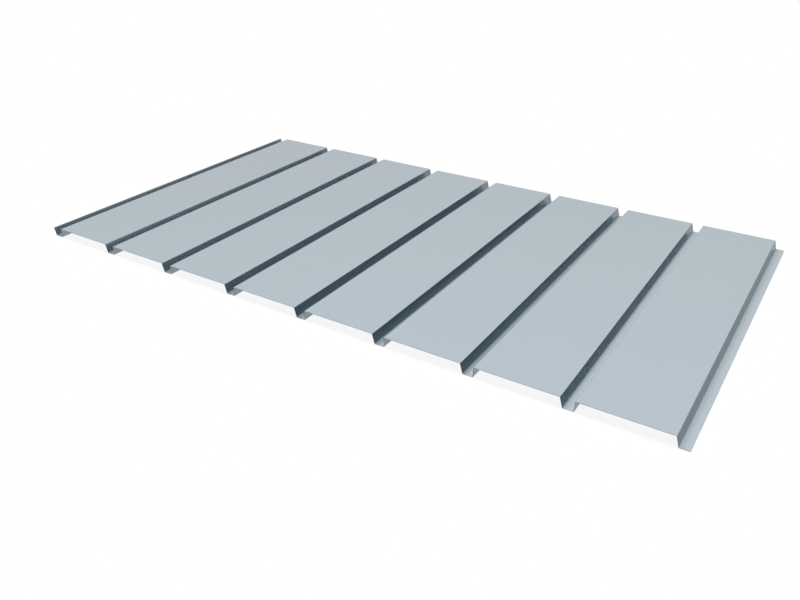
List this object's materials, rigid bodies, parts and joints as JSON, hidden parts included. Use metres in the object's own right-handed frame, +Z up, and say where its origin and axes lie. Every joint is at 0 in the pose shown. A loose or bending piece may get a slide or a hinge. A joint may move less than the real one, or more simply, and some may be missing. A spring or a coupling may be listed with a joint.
{
  "type": "profiled metal sheet",
  "caption": "Thin coated steel cladding sheet with wide flat crests, narrow grooves, an underlap lip along one side and an overlap flange along the other.",
  "frame": {"origin": "on the floor under the middle of the sheet's overall width and length, with the finished face up", "axes": "+X across the grooves towards the overlap flange, +Y along the grooves, +Z up out of the finished face"},
  "size_m": [1.0492, 0.587, 0.0146],
  "materials": {
    "coated_steel": "satin"
  },
  "bodies": {
    "root": {"profiled_sheet": "coated_steel"}
  },
  "joints": []
}
